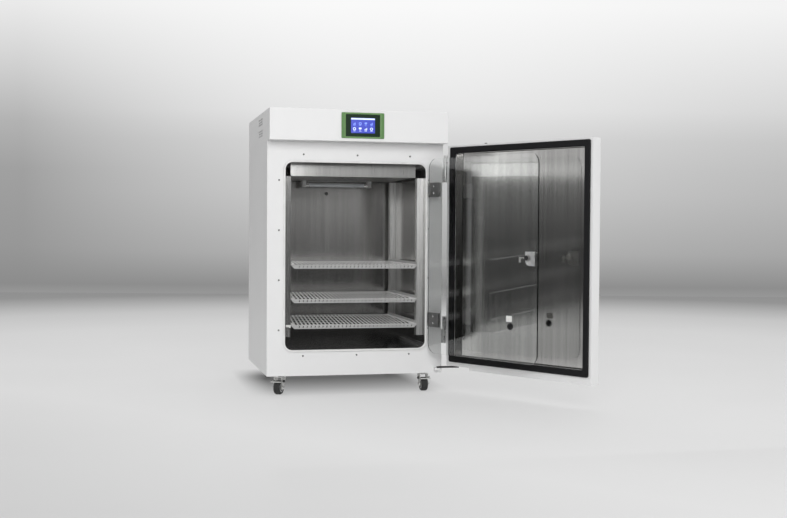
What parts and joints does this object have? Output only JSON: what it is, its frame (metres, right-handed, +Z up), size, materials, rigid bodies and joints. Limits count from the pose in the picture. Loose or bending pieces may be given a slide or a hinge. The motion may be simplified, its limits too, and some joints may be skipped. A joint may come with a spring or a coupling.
{
  "type": "carbon dioxide incubator",
  "caption": "Floor-standing carbon dioxide incubator on castors, with a touch screen head, an insulated outer door and a glass inner door standing open on perforated shelves.",
  "frame": {"origin": "on the floor, midway between the cabinet's sides, under the front face of the cabinet's body", "axes": "+X to the right of someone facing the doors, +Y to the back, +Z up"},
  "size_m": [1.0173, 1.1342, 0.988],
  "materials": {
    "painted_steel_white": "white powder coat",
    "zinc_plated_steel": "zinc plated",
    "black_painted_steel": "black paint",
    "brushed_stainless_steel": "brushed",
    "black_rubber": "matt",
    "white_silicone": "satin",
    "green_plastic": "satin",
    "black_plastic": "satin",
    "display_glass": "gloss",
    "clear_glass": "gloss",
    "insulating_foam": "cut foam",
    "nickel_plated_brass": "satin"
  },
  "bodies": {
    "root": {"outer_casing": "painted_steel_white", "front_frame": "painted_steel_white", "rear_panel": "painted_steel_white", "head_casing": "painted_steel_white", "head_rear_cover": "painted_steel_white", "base_pan": "zinc_plated_steel", "cabinet_hinge_lower": "zinc_plated_steel", "cabinet_hinge_upper": "zinc_plated_steel", "glass_hinge_bracket_lower": "zinc_plated_steel", "glass_hinge_bracket_upper": "zinc_plated_steel", "power_supply": "zinc_plated_steel", "fan_motor": "zinc_plated_steel", "inner_chamber": "brushed_stainless_steel", "plenum_cover": "brushed_stainless_steel", "chamber_probe": "brushed_stainless_steel", "shelf_runner_1_left": "brushed_stainless_steel", "shelf_runner_1_right": "brushed_stainless_steel", "shelf_runner_2_left": "brushed_stainless_steel", "shelf_runner_2_right": "brushed_stainless_steel", "shelf_runner_3_left": "brushed_stainless_steel", "shelf_runner_3_right": "brushed_stainless_steel", "upright_front_left": "brushed_stainless_steel", "upright_front_right": "brushed_stainless_steel", "upright_rear_left": "brushed_stainless_steel", "upright_rear_right": "brushed_stainless_steel", "inner_door_seal": "white_silicone", "screen_bezel": "green_plastic", "power_inlet": "black_plastic", "display_module": "display_glass", "ultraviolet_lamp": "clear_glass", "insulation": "insulating_foam", "gas_valve": "nickel_plated_brass"},
    "outer_door": {"outer_door": "painted_steel_white", "door_inner_panel": "brushed_stainless_steel", "door_gasket": "black_rubber", "door_hinge_lower": "zinc_plated_steel", "door_hinge_upper": "zinc_plated_steel", "door_handle": "zinc_plated_steel"},
    "glass_door": {"glass_pane": "clear_glass", "glass_hinge_clamp_lower": "zinc_plated_steel", "glass_hinge_clamp_upper": "zinc_plated_steel", "glass_latch_plate": "zinc_plated_steel"},
    "latch": {"glass_latch": "zinc_plated_steel"},
    "plug": {"port_plug": "black_rubber"},
    "stay": {"door_stay": "black_painted_steel"},
    "shelf_1": {"shelf_1": "brushed_stainless_steel"},
    "shelf_2": {"shelf_2": "brushed_stainless_steel"},
    "shelf_3": {"shelf_3": "brushed_stainless_steel"},
    "fan": {"fan_wheel": "brushed_stainless_steel"},
    "switch": {"power_switch": "black_plastic"},
    "castor_front_left": {"castor_fork_front_left": "zinc_plated_steel"},
    "wheel_front_left": {"castor_wheel_front_left": "black_rubber"},
    "castor_front_right": {"castor_fork_front_right": "zinc_plated_steel"},
    "wheel_front_right": {"castor_wheel_front_right": "black_rubber"},
    "castor_rear_left": {"castor_fork_rear_left": "zinc_plated_steel"},
    "wheel_rear_left": {"castor_wheel_rear_left": "black_rubber"},
    "castor_rear_right": {"castor_fork_rear_right": "zinc_plated_steel"},
    "wheel_rear_right": {"castor_wheel_rear_right": "black_rubber"},
    "brake_front_left": {"castor_brake_lever_front_left": "zinc_plated_steel"},
    "brake_front_right": {"castor_brake_lever_front_right": "zinc_plated_steel"}
  },
  "joints": [
    {"name": "outer_door_hinge", "type": "hinge", "parent": "root", "child": "outer_door", "pos_m": [0.3215, -0.0065, 0.48], "axis": [0, 0, 1], "range_deg": [-121, 0]},
    {"name": "glass_door_hinge", "type": "hinge", "parent": "root", "child": "glass_door", "pos_m": [0.2615, -0.0155, 0.48], "axis": [0, 0, 1], "range_deg": [-117.5, 0]},
    {"name": "door_stay_hinge", "type": "hinge", "parent": "root", "child": "stay", "pos_m": [0.295, -0.0135, 0.09], "axis": [0, 0, 1], "range_deg": [-177, 0]},
    {"name": "glass_latch_turn", "type": "hinge", "parent": "glass_door", "child": "latch", "pos_m": [0.47712, -0.43989, 0.489], "axis": [-0.887, -0.4617, 0], "range_deg": [0, 90]},
    {"name": "port_plug_pull", "type": "slide", "parent": "glass_door", "child": "plug", "axis": [0.887, 0.4617, 0], "range_m": [0, 0.015]},
    {"name": "shelf_1_slide", "type": "slide", "parent": "root", "child": "shelf_1", "axis": [0, -1, 0], "range_m": [0, 0.3]},
    {"name": "shelf_2_slide", "type": "slide", "parent": "root", "child": "shelf_2", "axis": [0, -1, 0], "range_m": [0, 0.3]},
    {"name": "shelf_3_slide", "type": "slide", "parent": "root", "child": "shelf_3", "axis": [0, -1, 0], "range_m": [0, 0.3]},
    {"name": "fan_spin", "type": "hinge", "parent": "root", "child": "fan", "pos_m": [0, 0.24, 0.79], "axis": [0, 0, 1], "continuous": true},
    {"name": "power_switch_rock", "type": "hinge", "parent": "root", "child": "switch", "pos_m": [-0.163, 0.549, 0.934], "axis": [1, 0, 0], "range_deg": [0, 16]},
    {"name": "castor_swivel_front_left", "type": "hinge", "parent": "root", "child": "castor_front_left", "pos_m": [-0.2565, 0.055, 0.06], "axis": [0, 0, 1], "continuous": true},
    {"name": "castor_roll_front_left", "type": "hinge", "parent": "castor_front_left", "child": "wheel_front_left", "pos_m": [-0.2655, 0.03941, 0.0245], "axis": [0.866, -0.5, 0], "continuous": true},
    {"name": "castor_swivel_front_right", "type": "hinge", "parent": "root", "child": "castor_front_right", "pos_m": [0.2565, 0.055, 0.06], "axis": [0, 0, 1], "continuous": true},
    {"name": "castor_roll_front_right", "type": "hinge", "parent": "castor_front_right", "child": "wheel_front_right", "pos_m": [0.2565, 0.037, 0.0245], "axis": [1, 0, 0], "continuous": true},
    {"name": "castor_swivel_rear_left", "type": "hinge", "parent": "root", "child": "castor_rear_left", "pos_m": [-0.242, 0.5, 0.06], "axis": [0, 0, 1], "continuous": true},
    {"name": "castor_roll_rear_left", "type": "hinge", "parent": "castor_rear_left", "child": "wheel_rear_left", "pos_m": [-0.242, 0.518, 0.0245], "axis": [1, 0, 0], "continuous": true},
    {"name": "castor_swivel_rear_right", "type": "hinge", "parent": "root", "child": "castor_rear_right", "pos_m": [0.242, 0.5, 0.06], "axis": [0, 0, 1], "continuous": true},
    {"name": "castor_roll_rear_right", "type": "hinge", "parent": "castor_rear_right", "child": "wheel_rear_right", "pos_m": [0.242, 0.518, 0.0245], "axis": [1, 0, 0], "continuous": true},
    {"name": "castor_brake_front_left", "type": "hinge", "parent": "castor_front_left", "child": "brake_front_left", "pos_m": [-0.2655, 0.03941, 0.047], "axis": [0.866, -0.5, 0], "range_deg": [0, 7]},
    {"name": "castor_brake_front_right", "type": "hinge", "parent": "castor_front_right", "child": "brake_front_right", "pos_m": [0.2565, 0.037, 0.047], "axis": [1, 0, 0], "range_deg": [0, 7]}
  ],
  "couplings": [
    {"joint": "glass_door_hinge", "follows": "outer_door_hinge", "ratio": 0.971},
    {"joint": "door_stay_hinge", "follows": "outer_door_hinge", "ratio": 1.462}
  ]
}
